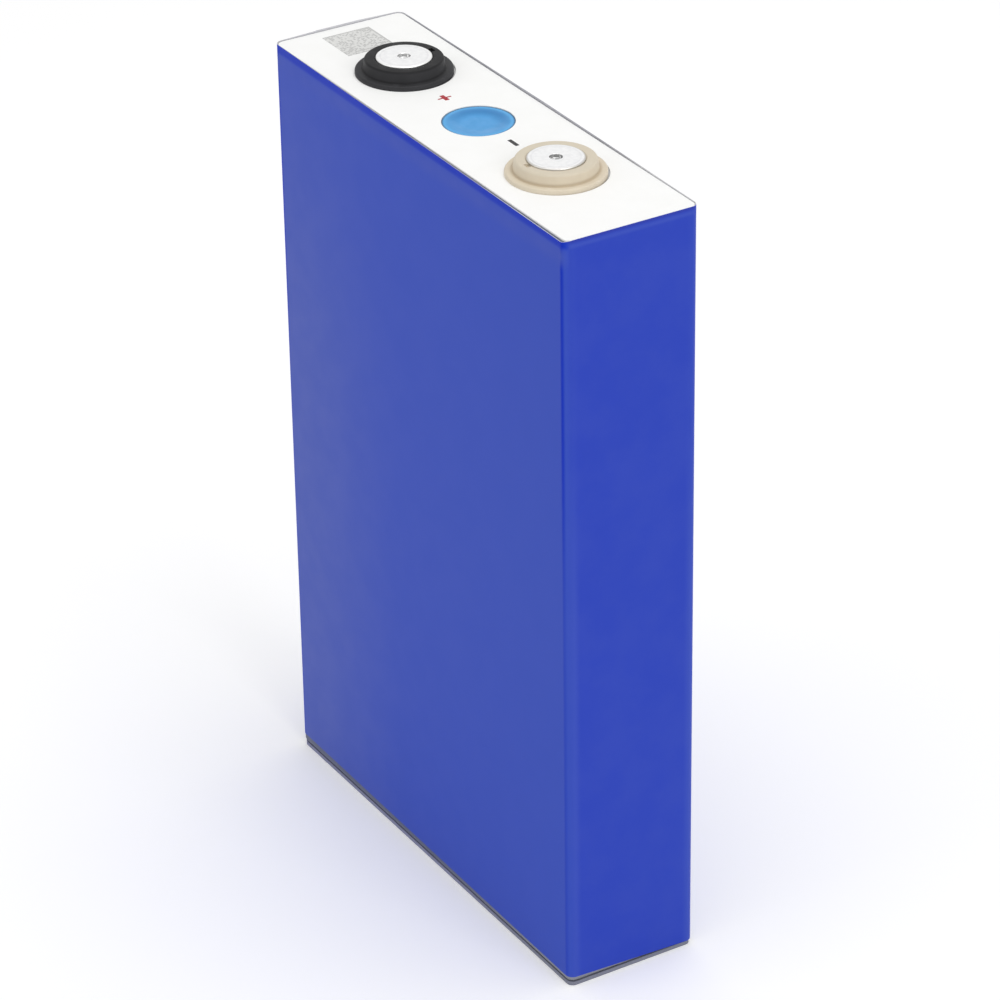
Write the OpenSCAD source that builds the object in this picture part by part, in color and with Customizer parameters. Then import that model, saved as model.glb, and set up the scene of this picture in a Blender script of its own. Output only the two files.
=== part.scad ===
// Prismatic battery cell: two wound rolls in a deep-drawn aluminium can, sleeved in blue film, with a
// welded cover that carries two insulated terminals, a burst vent and a filling hole.
// The origin is on the floor at the centre of the base. X runs along the wide face towards the negative
// terminal, Y runs from the front wide face to the back one, and Z is up. All sizes are in millimetres.

/* [Cell] */
// Width over the film, along the wide face
cell_w = 130; // [125:1:150]
// Thickness over the film
cell_t = 35; // [34:0.5:44]
// Height from the floor to the top of the white sheet
body_h = 196; // [120:1:220]
// Distance between the terminal centres
terminal_pitch = 67; // [66:0.5:72]
// Radius of the upright corners, over the film
corner_r = 2; // [1.8:0.1:4]

/* [Casing] */
// Thickness of the blue film
film_th = 0.15; // [0.1:0.05:0.2]
// Height of the film's lower edge above the floor
film_foot = 2.6; // [2.3:0.1:4]
// Height of the film's upper edge above the white sheet
film_proud = 0.2; // [0.05:0.05:0.4]
// Overlap of the film's two ends, on the narrow side at the positive end
film_lap = 12; // [8:1:16]
// Wall of the can
can_wall = 0.8; // [0.7:0.05:1]
// Bottom of the can
can_floor = 1.5; // [1.2:0.1:2]
// Radius of the can's bottom edge
can_foot_r = 1.2; // [0.8:0.1:1.2]
// Insulating sheet under the can
base_sheet_th = 1; // [0.6:0.1:1.1]
// Thickness of the cover plate
cover_th = 2; // [1.8:0.1:2.5]
// White sheet on the cover
top_sheet_th = 0.3; // [0.2:0.05:0.5]
// Distance from the outside of the film to the edge of the white sheet
top_inset = 0.35; // [0.3:0.05:1]

/* [Terminals] */
// Diameter of the bare terminal face
disc_d = 13.3; // [12:0.1:14]
// Height of the terminal face above the white sheet
terminal_rise = 4; // [3.8:0.1:4.6]
// Height of the terminal face above the collar's lip
disc_proud = 0.3; // [0.2:0.1:0.5]
// Diameter of the collar's brim
brim_d = 23.3; // [22.6:0.1:24]
// Height of the brim above the white sheet
brim_rise = 1.1; // [1:0.1:1.5]
// Diameter of the collar's wall where it leaves the brim
collar_base_d = 19.6; // [19.4:0.1:20.6]
// Diameter of the collar at its top
collar_top_d = 18.7; // [18.2:0.1:19]
// Radius of the collar's shoulder
shoulder_r = 0.5; // [0.3:0.1:0.7]
// Diameter of the pilot hole in the terminal face
pilot_d = 3; // [2:0.1:3.5]
// Depth of the pilot hole
pilot_depth = 1; // [0.6:0.1:1.2]
// Diameter of the post through the cover
post_d = 8; // [7:0.1:8]

/* [Vent] */
// Diameter of the light blue film over the vent
vent_film_d = 17; // [16.6:0.1:17.4]
// Depth of the dish in that film
vent_dish = 0.55; // [0.2:0.05:0.6]
// Diameter of the burst disc's seat
vent_seat_d = 15.4; // [14.8:0.1:15.6]

/* [Rolls] */
// Space between the tops of the rolls and the cover
head_room = 11.6; // [11:0.1:14]
// Width of each stack of foil tabs
tab_w = 26; // [20:1:28]
// Thickness of a tab stack where it is welded
tab_th = 1; // [0.6:0.1:1.2]

/* [Hidden] */
$fn = 96;
// Small overlap that lets a cut run clear through a face
cut = 0.5;

// Plan of the can, inside the film, and of its cavity
can_w = cell_w - 2 * film_th;
can_t = cell_t - 2 * film_th;
can_r = corner_r - film_th;
cavity_w = can_w - 2 * can_wall;
cavity_t = can_t - 2 * can_wall;
cavity_r = can_r - can_wall;

// Distance from the can's side to the edge of the sheet under it
base_inset = 0.2;

// Levels, from the floor up
cavity_z = base_sheet_th + can_floor;
cover_top = body_h - top_sheet_th;
cover_base = cover_top - cover_th;
film_top = body_h + film_proud;

// Slope beside the film's overlap, where the outer end rides up over the inner one
lap_ramp = 2;

// Radius inside the can's bottom edge
cavity_foot_r = 0.6;

// Rebate in the can's mouth that the cover's edge rests on
rebate_w = can_wall / 2;
rebate_h = 1.5;

// Places along the cover
positive_x = -terminal_pitch / 2;
negative_x = terminal_pitch / 2;
fill_x = 15.3;

// Terminal stack, from the cover's underside up
seal_wall = 2;
seal_brim = 1;
insulator_th = 1.3;
post_r = post_d / 2;
post_hole_r = post_r + seal_wall;
post_foot_r = 9;
post_foot_th = 1.5;
post_nub_r = 2;
insulator_base = cover_base - insulator_th;
post_foot_base = insulator_base - post_foot_th;
collector_th = 1.2;
collector_base = post_foot_base - collector_th;
collar_floor_th = 1.4;
collar_gap = 0.2;
disc_r = disc_d / 2;
disc_seat = cover_top + collar_floor_th;
disc_foot_r = disc_r + 1.25;
disc_foot_th = 1.4;
disc_top = body_h + terminal_rise;
disc_edge_r = 0.3;
socket_depth = 1.2;
collar_top = disc_top - disc_proud;
brim_top = body_h + brim_rise;
brim_edge_r = 0.5;
lip_chamfer = 0.35;
key_w = 1.8;
key_reach = 1.4;
key_depth = 0.7;

// Vent and filling hole
vent_seat_depth = 1.2;
vent_hole_r = vent_seat_d / 2 - 1;
vent_disc_th = 0.45;
membrane_th = 0.2;
score_r = 4.6;
score_w = 0.4;
score_arc = 290;
vent_film_th = 0.15;
vent_film_rim = 1;
fill_hole_r = 1.6;
plug_head_r = 2.5;
plug_head_th = 0.5;
plug_lead = 0.3;
fill_cap_r = 3.6;
fill_cap_th = 0.6;
cap_dimple_r = 2;
cap_dimple = 0.2;

// Lower insulators
insulator_inner_x = 11;
insulator_end_gap = 1.6;
insulator_side_gap = 1;
insulator_rim_w = 1.2;
insulator_rim_h = 3.4;

// Bag, tray and rolls
bag_gap = 0.15;
bag_th = 0.2;
bag_w = cavity_w - 2 * bag_gap;
bag_t = cavity_t - 2 * bag_gap;
bag_r = cavity_r - bag_gap;
bag_foot_r = cavity_foot_r;
bag_top = insulator_base - 1.3;
bag_floor = cavity_z + bag_th;
tray_th = 1.5;
tray_gap = 0.4;
roll_base = bag_floor + tray_th;
roll_top = cover_base - head_room;
roll_gap = 0.2;
roll_side_gap = 0.35;
roll_w = bag_w - 2 * bag_th - 2 * roll_side_gap;
roll_t = (bag_t - 2 * bag_th - 2 * roll_side_gap - roll_gap) / 2;
roll_y = (roll_t + roll_gap) / 2;
roll_slit = 0.6;
tape_th = 0.1;
tape_w = 24;
tape_h = 30;

// Foil tabs
tab_bend_r = 2;
tab_reach = 2;

// Rounded rectangle, centred
module plan(w, t, r) {
    square([w - 2 * r, t], center = true);
    square([w, t - 2 * r], center = true);
    for (sx = [-1, 1], sy = [-1, 1])
        translate([sx * (w / 2 - r), sy * (t / 2 - r)])
            circle(r);
}

// Upright block with rounded corners between two levels
module slab(w, t, r, z0, z1) {
    translate([0, 0, z0])
        linear_extrude(z1 - z0)
            plan(w, t, r);
}

// Half section of a round part whose lower outer edge is rolled with radius e
module rolled_section(r, h, e) {
    square([r - e, h]);
    translate([0, e])
        square([r, h - e]);
    translate([r - e, e])
        intersection() {
            circle(e);
            translate([0, -e])
                square(e);
        }
}

// Section of a wall pair, centred, whose two lower edges are rolled with radius e
module rolled_profile(w, h, e) {
    translate([-w / 2, e])
        square([w, h - e]);
    translate([e - w / 2, 0])
        square([w - 2 * e, h]);
    for (s = [-1, 1])
        translate([s * (w / 2 - e), e])
            circle(e);
}

// Drawn block: rounded upright corners and a rolled bottom edge
module drawn_block(w, t, r, e, z0, z1) {
    h = z1 - z0;
    translate([0, 0, z0]) {
        translate([r - w / 2, 0, 0])
            rotate([90, 0, 90])
                linear_extrude(w - 2 * r)
                    rolled_profile(t, h, e);
        translate([0, t / 2 - r, 0])
            rotate([90, 0, 0])
                linear_extrude(t - 2 * r)
                    rolled_profile(w, h, e);
        for (sx = [-1, 1], sy = [-1, 1])
            translate([sx * (w / 2 - r), sy * (t / 2 - r), 0])
                rotate_extrude()
                    rolled_section(r, h, e);
    }
}

// Upright round hole cut through a plate at x, between two levels
module drill(x, r, z0, z1) {
    translate([x, 0, z0])
        cylinder(r = r, h = z1 - z0);
}

module base_sheet() {
    color("dimgray")
        slab(can_w - 2 * base_inset, can_t - 2 * base_inset, can_r - base_inset, 0, base_sheet_th);
}

module can() {
    color("silver")
        difference() {
            drawn_block(can_w, can_t, can_r, can_foot_r, base_sheet_th, cover_top);
            drawn_block(cavity_w, cavity_t, cavity_r, cavity_foot_r, cavity_z, cover_top + cut);
            slab(
                cavity_w + 2 * rebate_w, cavity_t + 2 * rebate_w, cavity_r + rebate_w,
                cover_top - rebate_h, cover_top + cut
            );
        }
}

// Sleeve of film, with the step and the ramp where its outer end laps over the inner one
module wrap_film() {
    side_x = -cell_w / 2;
    color([0.2, 0.27, 0.7]) {
        difference() {
            slab(cell_w, cell_t, corner_r, film_foot, film_top);
            slab(can_w, can_t, can_r, film_foot - cut, film_top + cut);
        }
        translate([side_x, 0, film_foot])
            linear_extrude(film_top - film_foot)
                polygon([
                    [film_th / 2, -film_lap / 2],
                    [-film_th, -film_lap / 2],
                    [-film_th, film_lap / 2],
                    [0, film_lap / 2 + lap_ramp],
                    [film_th / 2, film_lap / 2 + lap_ramp]
                ]);
    }
}

module cover_plate() {
    color("gainsboro")
        difference() {
            union() {
                slab(
                    cavity_w + 2 * rebate_w, cavity_t + 2 * rebate_w, cavity_r + rebate_w,
                    cover_top - rebate_h, cover_top
                );
                slab(cavity_w, cavity_t, cavity_r, cover_base, cover_top - rebate_h);
            }
            for (x = [positive_x, negative_x])
                drill(x, post_hole_r, cover_base - cut, cover_top + cut);
            drill(0, vent_hole_r, cover_base - cut, cover_top + cut);
            drill(0, vent_seat_d / 2, cover_top - vent_seat_depth, cover_top + cut);
            drill(fill_x, fill_hole_r, cover_base - cut, cover_top + cut);
            drill(fill_x, plug_head_r, cover_top - fill_cap_th - plug_head_th, cover_top + cut);
            drill(fill_x, fill_cap_r, cover_top - fill_cap_th, cover_top + cut);
        }
}

module top_sheet() {
    sheet_w = cell_w - 2 * top_inset;
    sheet_t = cell_t - 2 * top_inset;
    color("white")
        difference() {
            slab(sheet_w, sheet_t, corner_r - top_inset, cover_top, body_h);
            for (x = [positive_x, negative_x])
                drill(x, brim_d / 2 + collar_gap, cover_top - cut, body_h + cut);
            drill(0, vent_film_d / 2 + collar_gap, cover_top - cut, body_h + cut);
        }
}

// Burst disc: a stout rim, a thin membrane and an open ring of scoring on its top
module vent_disc() {
    seat = cover_top - vent_seat_depth;
    color("lightgray")
        translate([0, 0, seat])
            difference() {
                rotate_extrude() {
                    square([vent_hole_r, membrane_th]);
                    translate([vent_hole_r - score_w, 0])
                        square([vent_seat_d / 2 - vent_hole_r + score_w, vent_disc_th]);
                }
                rotate([0, 0, -score_arc / 2])
                    rotate_extrude(angle = score_arc)
                        translate([score_r - score_w / 2, membrane_th / 2])
                            square([score_w, membrane_th]);
            }
}

// Height of the dished film at radius r, below its rim
function dish(r, rim) = -vent_dish * (1 + cos(180 * min(r / rim, 1))) / 2;

module vent_film() {
    rim = vent_film_d / 2 - vent_film_rim;
    steps = 12;
    radii = [for (i = [0 : steps]) rim * i / steps];
    upper = [for (r = radii) [r, dish(r, rim) + vent_film_th]];
    lower = [for (i = [steps : -1 : 0]) [radii[i], dish(radii[i], rim)]];
    edge = vent_film_d / 2;
    color([0.36, 0.66, 0.88])
        translate([0, 0, cover_top])
            rotate_extrude()
                polygon(concat(upper, [[edge, vent_film_th], [edge, 0]], lower));
}

// Rubber plug: a head in the counterbore and a shank whose tip tapers to lead it in
module fill_plug() {
    head_top = cover_top - fill_cap_th;
    color("darkslategray")
        translate([fill_x, 0, 0])
            rotate_extrude()
                polygon([
                    [0, cover_base],
                    [fill_hole_r - plug_lead, cover_base],
                    [fill_hole_r, cover_base + plug_lead],
                    [fill_hole_r, head_top - plug_head_th],
                    [plug_head_r, head_top - plug_head_th],
                    [plug_head_r, head_top],
                    [0, head_top]
                ]);
}

module fill_cap() {
    color("silver")
        difference() {
            drill(fill_x, fill_cap_r, cover_top - fill_cap_th, cover_top);
            drill(fill_x, cap_dimple_r, cover_top - cap_dimple, cover_top + cut);
        }
}

// Terminal block: a foot held under the collar's lip, and a bare face with a pilot hole
module terminal(x) {
    difference() {
        translate([x, 0, disc_seat])
            rotate_extrude() {
                square([disc_foot_r, disc_foot_th]);
                square([disc_r - disc_edge_r, disc_top - disc_seat]);
                square([disc_r, disc_top - disc_seat - disc_edge_r]);
                translate([disc_r - disc_edge_r, disc_top - disc_seat - disc_edge_r])
                    circle(disc_edge_r);
            }
        drill(x, pilot_d / 2, disc_top - pilot_depth, disc_top + cut);
        drill(x, post_r, disc_seat - cut, disc_seat + socket_depth);
    }
}

module positive_terminal() { color("whitesmoke") terminal(positive_x); }
module negative_terminal() { color("whitesmoke") terminal(negative_x); }

// Post: a wide foot that clamps the seal, a shank through the cover, and a nub for the collector
module post(x) {
    drill(x, post_foot_r, post_foot_base, insulator_base);
    drill(x, post_r, insulator_base - cut, disc_seat + socket_depth);
    drill(x, post_nub_r, collector_base, post_foot_base + cut);
}

module positive_post() { color("silver") post(positive_x); }
module negative_post() { color("peru") post(negative_x); }

// Point where a line from p touches a circle on its outer side
function touch(p, c, r) =
    let (
        away = p - c,
        turn = atan2(away.y, away.x) + acos(r / norm(away))
    )
    c + r * [cos(turn), sin(turn)];

// Half section of the collar's outside: brim, leaning wall and rounded shoulder
module collar_section() {
    brim_r = brim_d / 2;
    top_r = collar_top_d / 2;
    base = [collar_base_d / 2, brim_top];
    shoulder = [top_r - shoulder_r, collar_top - shoulder_r];
    translate([0, cover_top])
        square([brim_r, brim_top - cover_top - brim_edge_r]);
    translate([0, cover_top])
        square([brim_r - brim_edge_r, brim_top - cover_top]);
    translate([brim_r - brim_edge_r, brim_top - brim_edge_r])
        circle(brim_edge_r);
    polygon([
        [0, cover_top],
        [base.x, cover_top],
        base,
        touch(base, shoulder, shoulder_r),
        shoulder,
        [shoulder.x, collar_top],
        [0, collar_top]
    ]);
    translate(shoulder)
        circle(shoulder_r);
}

// Moulded collar: floor under the terminal block, pocket for its foot, lip round its face, and one key
// notch in the lip on the side that turn points to
module collar(x, turn) {
    translate([x, 0, 0])
        difference() {
            rotate_extrude()
                difference() {
                    collar_section();
                    translate([0, cover_top - cut])
                        square([post_r + collar_gap, collar_top]);
                    translate([0, disc_seat])
                        square([disc_foot_r, disc_foot_th]);
                    translate([0, disc_seat])
                        square([disc_r, collar_top]);
                    polygon([
                        [disc_r - cut, collar_top + cut],
                        [disc_r - cut, collar_top - lip_chamfer - cut],
                        [disc_r + lip_chamfer + cut, collar_top + cut]
                    ]);
                }
            rotate([0, 0, turn])
                translate([disc_r - cut, -key_w / 2, collar_top - key_depth])
                    cube([key_reach + cut, key_w, key_depth + cut]);
        }
}

module positive_collar() { color([0.16, 0.16, 0.18]) collar(positive_x, 90); }
module negative_collar() { color([0.84, 0.78, 0.68]) collar(negative_x, -90); }

// Seal: a sleeve through the cover's hole and a brim that the post's foot squeezes
module seal(x) {
    difference() {
        union() {
            drill(x, post_hole_r, insulator_base, cover_top);
            drill(x, post_hole_r + seal_brim, insulator_base, cover_base);
        }
        drill(x, post_r, insulator_base - cut, cover_top + cut);
    }
}

module positive_seal() { color("black") seal(positive_x); }
module negative_seal() { color("black") seal(negative_x); }

// Insulator under one half of the cover: a plate with a rim on three sides that keeps the rolls down
module lower_insulator(side) {
    outer_x = cavity_w / 2 - insulator_end_gap;
    length = outer_x - insulator_inner_x;
    width = cavity_t - 2 * insulator_side_gap;
    centre_x = side * (insulator_inner_x + length / 2);
    difference() {
        translate([centre_x, 0, 0])
            slab(length, width, cavity_r, insulator_base - insulator_rim_h, cover_base);
        translate([centre_x - side * insulator_rim_w, 0, 0])
            slab(
                length, width - 2 * insulator_rim_w, cavity_r / 2,
                insulator_base - insulator_rim_h - cut, insulator_base
            );
        drill(side * terminal_pitch / 2, post_hole_r + seal_brim, insulator_base - cut, cover_base + cut);
        drill(fill_x, fill_hole_r * 2, insulator_base - cut, cover_base + cut);
    }
}

module positive_lower_insulator() { color("dimgray") lower_insulator(-1); }
module negative_lower_insulator() { color("beige") lower_insulator(1); }

// Collector plate between the post and the tab stacks
module collector(x) {
    plate_w = tab_w + 6;
    plate_t = 2 * (roll_y + tab_bend_r);
    difference() {
        translate([x, 0, 0])
            slab(plate_w, plate_t, 2, collector_base, post_foot_base);
        drill(x, post_nub_r, collector_base - cut, post_foot_base + cut);
    }
}

module positive_collector() { color("silver") collector(positive_x); }
module negative_collector() { color("chocolate") collector(negative_x); }

// Flat wound roll: round ends where the winding turns, and the slit that the winding blade left
module roll(side) {
    translate([0, side * roll_y, roll_base])
        linear_extrude(roll_top - roll_base)
            difference() {
                union() {
                    square([roll_w - roll_t, roll_t], center = true);
                    for (s = [-1, 1])
                        translate([s * (roll_w - roll_t) / 2, 0])
                            circle(roll_t / 2);
                }
                square([roll_w - roll_t, roll_slit], center = true);
            }
}

module roll_front() { color("darkslategray") roll(-1); }
module roll_back() { color("darkslategray") roll(1); }

// Section of a tab stack in Y and Z: up from the roll, round a bend, and in under the collector
module tab_section() {
    leg_x = tab_reach + roll_y;
    bend = [leg_x - tab_bend_r - tab_th, collector_base - tab_bend_r - tab_th];
    translate([leg_x - tab_th, roll_top])
        square([tab_th, bend.y - roll_top]);
    translate([roll_gap, collector_base - tab_th])
        square([bend.x - roll_gap, tab_th]);
    translate(bend)
        intersection() {
            difference() {
                circle(tab_bend_r + tab_th);
                circle(tab_bend_r);
            }
            square(tab_bend_r + tab_th);
        }
}

module tabs(x, side) {
    translate([x, 0, 0])
        mirror([0, side < 0 ? 1 : 0, 0])
            translate([-tab_w / 2, 0, 0])
                rotate([90, 0, 90])
                    linear_extrude(tab_w)
                        tab_section();
}

module positive_tabs_front() { color("gainsboro") tabs(positive_x, -1); }
module positive_tabs_back() { color("gainsboro") tabs(positive_x, 1); }
module negative_tabs_front() { color("peru") tabs(negative_x, -1); }
module negative_tabs_back() { color("peru") tabs(negative_x, 1); }

// Tapes on the outer face of each roll, one near each end and one in the middle
module roll_tapes() {
    face_y = roll_y + roll_t / 2;
    reach_x = (roll_w - roll_t - tape_w) / 2;
    low_z = roll_base + tape_h;
    high_z = roll_top - 2 * tape_h;
    color("steelblue")
        for (side = [-1, 1], x = [-reach_x, 0, reach_x], z = [low_z, high_z])
            translate([x - tape_w / 2, side < 0 ? -face_y - tape_th : face_y, z])
                cube([tape_w, tape_th, tape_h]);
}

module inner_bag() {
    color("lightcyan")
        difference() {
            drawn_block(bag_w, bag_t, bag_r, bag_foot_r, cavity_z, bag_top);
            drawn_block(
                bag_w - 2 * bag_th, bag_t - 2 * bag_th, bag_r - bag_th,
                bag_foot_r - bag_th, bag_floor, bag_top + cut
            );
        }
}

// Support plate under the rolls, pierced so that electrolyte can pass
module base_tray() {
    tray_w = bag_w - 2 * bag_th - 2 * tray_gap;
    tray_t = bag_t - 2 * bag_th - 2 * tray_gap;
    hole_r = 2;
    columns = 7;
    step = tray_w / columns;
    color("ivory")
        difference() {
            slab(tray_w, tray_t, bag_r - bag_th, bag_floor, roll_base);
            for (i = [0 : columns - 1], side = [-1, 1])
                translate([(i + 0.5) * step - tray_w / 2, side * roll_y, bag_floor - cut])
                    cylinder(r = hole_r, h = tray_th + 2 * cut);
        }
}

base_sheet();
can();
wrap_film();
cover_plate();
top_sheet();
vent_disc();
vent_film();
fill_plug();
fill_cap();
positive_terminal();
negative_terminal();
positive_post();
negative_post();
positive_collar();
negative_collar();
positive_seal();
negative_seal();
positive_lower_insulator();
negative_lower_insulator();
positive_collector();
negative_collector();
roll_front();
roll_back();
positive_tabs_front();
positive_tabs_back();
negative_tabs_front();
negative_tabs_back();
roll_tapes();
inner_bag();
base_tray();
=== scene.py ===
# %% [markdown]
# # A prismatic battery cell, dressed for the camera
# A prismatic cell is a flat aluminium can that holds two wound rolls. A cover is welded into its mouth, two
# round terminals stand in plastic collars on the cover, and a sleeve of blue film insulates the sides.
# The construction arrives as a finished model in metres, with one object for each piece. This lesson adds
# the finish of every surface, and models again by hand the pieces whose curves catch the eye.

# %% Load the model
import math
import random

import bmesh
import bpy
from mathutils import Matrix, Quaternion, Vector


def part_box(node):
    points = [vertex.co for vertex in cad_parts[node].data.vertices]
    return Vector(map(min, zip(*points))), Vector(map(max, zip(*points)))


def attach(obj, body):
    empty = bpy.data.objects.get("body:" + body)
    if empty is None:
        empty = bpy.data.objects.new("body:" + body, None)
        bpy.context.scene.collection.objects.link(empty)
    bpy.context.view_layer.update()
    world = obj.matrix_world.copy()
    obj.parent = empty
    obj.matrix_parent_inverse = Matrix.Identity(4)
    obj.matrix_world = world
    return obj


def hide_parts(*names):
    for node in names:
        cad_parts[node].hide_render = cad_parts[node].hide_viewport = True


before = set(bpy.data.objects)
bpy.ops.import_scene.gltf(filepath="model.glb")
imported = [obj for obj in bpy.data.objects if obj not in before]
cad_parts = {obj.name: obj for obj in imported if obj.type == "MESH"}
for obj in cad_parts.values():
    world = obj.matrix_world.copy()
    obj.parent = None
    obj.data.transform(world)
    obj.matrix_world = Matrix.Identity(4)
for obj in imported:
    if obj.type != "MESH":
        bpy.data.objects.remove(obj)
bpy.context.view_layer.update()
MM = 0.001

# %% [markdown]
# ## The camera
# The picture was taken with a long lens, from above and to the right, so upright edges stay almost parallel.
# A camera could be moved until it looks right. Here it circles a point inside the cell instead: the turn,
# the height and the distance each have a name, and a small roll tips the picture as the photographer's hand
# did.

# %% Camera
view_turn = math.radians(59.03)
view_height = math.radians(29.115)
view_roll = math.radians(-0.885)
view_distance = 1071.75 * MM
view_target = Vector((2.31, 2.81, 97.05)) * MM
view_reach = 50
lens_length = 161.33
sensor_width = 36

towards_camera = Vector((
    math.sin(view_turn) * math.cos(view_height),
    -math.cos(view_turn) * math.cos(view_height),
    math.sin(view_height),
))
camera = bpy.data.objects.new("camera", bpy.data.cameras.new("camera"))
bpy.context.scene.collection.objects.link(camera)
camera.data.lens = lens_length
camera.data.sensor_width = sensor_width
camera.data.clip_end = view_reach
camera.location = view_target + towards_camera * view_distance
camera.rotation_mode = "QUATERNION"
level = (-towards_camera).to_track_quat("-Z", "Y")
camera.rotation_quaternion = level @ Quaternion((0, 0, 1), view_roll)
bpy.context.scene.camera = camera
print("camera at", [round(place, 3) for place in camera.location])

# %% [markdown]
# ## The floor, the white background and the light
# A product is photographed on a pale sweep, under large soft lamps. A lamp's light falls off with distance,
# so large lamps far away give an even tone. The floor is a real surface and keeps the shadow. The floor and
# the world look white to the camera and in reflections, but give the surfaces less light than that, so that
# nothing burns out.

# %% Helpers for nodes
def add_node(tree, kind, inputs=None, **options):
    """Add a node, set its options, and give its inputs a value or a link."""
    made = tree.nodes.new(kind)
    for option, value in options.items():
        setattr(made, option, value)
    for socket, value in (inputs or {}).items():
        if isinstance(value, bpy.types.NodeSocket):
            tree.links.new(value, made.inputs[socket])
        else:
            made.inputs[socket].default_value = value
    return made


def calculate(tree, operation, first, second=0.0):
    """One step of arithmetic on sockets or numbers."""
    return add_node(tree, "ShaderNodeMath", {0: first, 1: second}, operation=operation).outputs[0]


def seen_directly(tree):
    """Mask of the rays that show a surface: those of the camera, of mirrors and of glass."""
    rays = add_node(tree, "ShaderNodeLightPath").outputs
    seen = rays["Is Camera Ray"]
    for kind in ("Is Glossy Ray", "Is Transmission Ray"):
        seen = calculate(tree, "MAXIMUM", seen, rays[kind])
    return seen


print("helpers for nodes are ready")

# %% Floor
floor_size = 12
floor_tone = (0.93, 0.93, 0.93, 1)
floor_rough = 0.9
floor_lift = 0.14

bpy.ops.object.select_all(action="DESELECT")
bpy.ops.mesh.primitive_plane_add(size=floor_size)
floor = bpy.context.object
floor.name = "floor"
floor_finish = bpy.data.materials.new("floor_paper")
floor_finish.use_nodes = True
floor_shader = floor_finish.node_tree.nodes["Principled BSDF"]
floor_shader.inputs["Base Color"].default_value = floor_tone
floor_shader.inputs["Roughness"].default_value = floor_rough
floor_shader.inputs["Specular IOR Level"].default_value = 0
floor_shader.inputs["Emission Color"].default_value = (1, 1, 1, 1)
tree = floor_finish.node_tree
lift = calculate(tree, "MULTIPLY", seen_directly(tree), floor_lift)
tree.links.new(lift, floor_shader.inputs["Emission Strength"])
floor.data.materials.append(floor_finish)
print("floor", floor_size, "m wide")

# %% World
ambient = 0.6

world = bpy.data.worlds.new("studio")
world.use_nodes = True
bpy.context.scene.world = world
tree = world.node_tree
tree.nodes.clear()
lit = add_node(tree, "ShaderNodeBackground", {"Color": (1, 1, 1, 1), "Strength": ambient})
white = add_node(tree, "ShaderNodeBackground", {"Color": (1, 1, 1, 1), "Strength": 1})
shown = seen_directly(tree)
sky = add_node(tree, "ShaderNodeMixShader", {0: shown, 1: lit.outputs[0], 2: white.outputs[0]})
add_node(tree, "ShaderNodeOutputWorld", {"Surface": sky.outputs[0]})
bpy.context.scene.view_settings.view_transform = "Standard"
print("world gives", ambient, "of white to surfaces")

# %% Lamps
lamp_aim = Vector((0, 0, 0.1))


def softbox(name, place, width, watts):
    """Hang a square lamp at a place, turned towards the cell."""
    light = bpy.data.lights.new(name, "AREA")
    light.size = width
    light.energy = watts
    lamp = bpy.data.objects.new(name, light)
    bpy.context.scene.collection.objects.link(lamp)
    lamp.location = place
    lamp.rotation_mode = "QUATERNION"
    lamp.rotation_quaternion = (lamp_aim - lamp.location).to_track_quat("-Z", "Y")
    print(name, "at", place, "with", watts, "watts")


softbox("lamp_above", (0.15, 0.1, 1.9), 1.6, 13)
softbox("lamp_right", (1.9, 0.1, 0.9), 1.2, 10)
softbox("lamp_front", (-0.4, -1.9, 0.8), 1.4, 4)

# %% [markdown]
# ## Shared effects
# Real surfaces are never one flat colour: film is cloudy, plastic is faintly rough, metal keeps the marks of
# the tool, and a crease is darkened with painted shade. Each of these effects serves several finishes, so
# each is a node group, built once and placed in a material with its own values. Painted textures would do
# too, but nodes stay sharp at every distance.

# %% Helpers for node groups
def new_group(name, inputs, outputs):
    """Start a node group with named sockets, and return it with its inside ends."""
    group = bpy.data.node_groups.new(name, "ShaderNodeTree")
    for title, value in inputs.items():
        kind = "NodeSocketColor" if isinstance(value, tuple) else "NodeSocketFloat"
        socket = group.interface.new_socket(name=title, in_out="INPUT", socket_type=kind)
        socket.default_value = value
    for title in outputs:
        kind = "NodeSocketColor" if title == "Colour" else "NodeSocketFloat"
        group.interface.new_socket(name=title, in_out="OUTPUT", socket_type=kind)
    start = group.nodes.new("NodeGroupInput")
    end = group.nodes.new("NodeGroupOutput")
    return group, start.outputs, end.inputs


def mix_colours(tree, share, first, second):
    """Blend two colours by a share from 0 to 1, and return the blended socket."""
    mix = tree.nodes.new("ShaderNodeMix")
    mix.data_type = "RGBA"
    for socket, value in ((mix.inputs[0], share), (mix.inputs[6], first), (mix.inputs[7], second)):
        if isinstance(value, bpy.types.NodeSocket):
            tree.links.new(value, socket)
        else:
            socket.default_value = value
    return mix.outputs[2]


def place_on(tree):
    """Place of each point. A piece's object sits at the origin, so this is a place on the cell."""
    return add_node(tree, "ShaderNodeTexCoord").outputs["Object"]


def ramp(tree, value, start, end):
    """Mask that rises softly from 0 where a value is at the start to 1 where it is at the end."""
    return add_node(
        tree, "ShaderNodeMapRange", {"Value": value, "From Min": start, "From Max": end},
        interpolation_type="SMOOTHSTEP",
    ).outputs["Result"]


def noise_at(tree, place, scale, detail, roughness=0.5):
    """Soft noise from 0 to 1. The scale says how many waves fit into one unit of the place."""
    return add_node(
        tree, "ShaderNodeTexNoise",
        {"Vector": place, "Scale": scale, "Detail": detail, "Roughness": roughness},
    ).outputs[0]


print("helpers for groups are ready")

# %% Cloudy tint
cloud_detail = 4.0
cloud_rough = 0.55
cloud_start = 0.32
cloud_full = 0.68

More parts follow.
